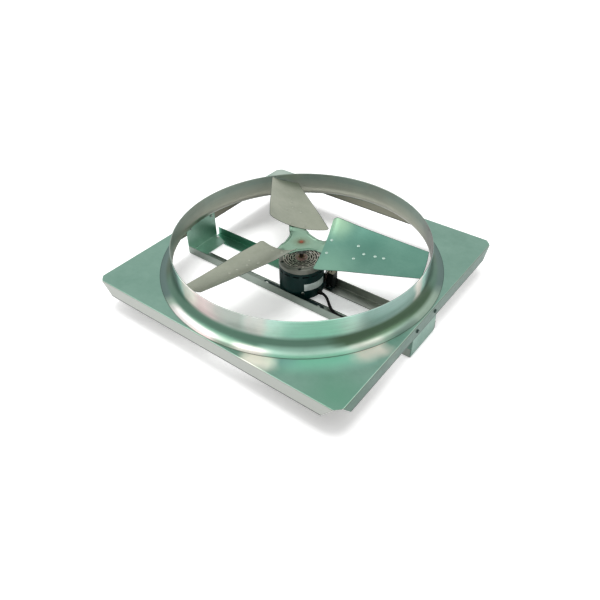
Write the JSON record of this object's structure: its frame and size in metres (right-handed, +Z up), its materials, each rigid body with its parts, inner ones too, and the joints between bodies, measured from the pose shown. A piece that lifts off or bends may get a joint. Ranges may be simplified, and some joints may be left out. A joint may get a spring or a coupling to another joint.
{
  "type": "whole house fan",
  "caption": "Ceiling-mounted attic fan: square flanged panel, spun venturi ring, motor hung on two rails, and a wide bladed rotor on its shaft",
  "frame": {"origin": "on the fan's axis, in the plane of the undersides of the two rails, which is the lowest plane of the unit", "axes": "+Z is up, along the fan's axis and the way the air is blown; +X runs along the two rails, towards the side where the motor cord lies; +Y runs across them, from the front rail to the back rail"},
  "size_m": [0.8832, 0.876, 0.2344],
  "materials": {
    "panel_steel": "galvanised sheet with a thin pale green coat, semi-gloss",
    "ring_steel": "spun galvanised sheet with a pale green coat, semi-gloss",
    "rail_steel": "galvanised sheet, grey green, satin",
    "bracket_steel": "galvanised sheet, grey green, semi-gloss",
    "blade_steel": "galvanised blade sheet, pale grey green, semi-gloss",
    "spider_steel": "pressed sheet with a pale green coat, semi-gloss",
    "screw_zinc": "bright zinc plate",
    "bolt_dark": "dark phosphate",
    "motor_paint": "dark teal enamel, semi-gloss",
    "bell_casting": "bare die casting, satin",
    "lamination_steel": "stacked laminations",
    "winding_copper": "varnished copper wire",
    "bushing_bronze": "oil-filled sintered bronze",
    "shaft_steel": "ground steel with light brown rust",
    "collar_steel": "turned steel, oiled",
    "plate_aluminium": "blank foil plate, satin",
    "rivet_steel": "zinc plate",
    "cord_rubber": "matt black jacket",
    "grommet_rubber": "matt black rubber",
    "capacitor_case": "moulded box, satin",
    "capacitor_resin": "poured resin, satin",
    "lead_insulation": "dark wire insulation"
  },
  "bodies": {
    "housing": {"panel": "panel_steel", "venturi_ring": "ring_steel", "rail_front": "rail_steel", "rail_back": "rail_steel", "bracket_left": "bracket_steel", "bracket_right": "bracket_steel", "flange_screws": "bolt_dark", "flange_nuts": "screw_zinc", "rail_screws": "screw_zinc", "mounting_strap_front": "motor_paint", "mounting_strap_back": "motor_paint", "strap_screws": "screw_zinc", "motor_shell": "motor_paint", "ground_screw": "screw_zinc", "upper_end_bell": "bell_casting", "lower_end_bell": "motor_paint", "through_bolts": "bolt_dark", "stator_core": "lamination_steel", "stator_windings": "winding_copper", "upper_bushing": "bushing_bronze", "lower_bushing": "bushing_bronze", "nameplate": "plate_aluminium", "cord_grommet": "grommet_rubber", "lead_grommet": "grommet_rubber", "run_capacitor": "capacitor_case", "capacitor_seal": "capacitor_resin", "capacitor_screw": "screw_zinc", "capacitor_leads": "lead_insulation", "motor_cord": "cord_rubber", "cord_conductors": "lead_insulation"},
    "fan_rotor": {"motor_shaft": "shaft_steel", "rotor_core": "lamination_steel", "thrust_washers": "screw_zinc", "hub_collar": "collar_steel", "set_screw": "bolt_dark", "spider": "spider_steel", "hub_rivets": "rivet_steel", "blade_1": "blade_steel", "blade_2": "blade_steel", "blade_3": "blade_steel", "blade_rivets": "rivet_steel"}
  },
  "joints": [
    {"name": "fan_spin", "type": "hinge", "parent": "housing", "child": "fan_rotor", "pos_m": [0, 0, 0.15], "axis": [0, 0, 1], "continuous": true}
  ]
}
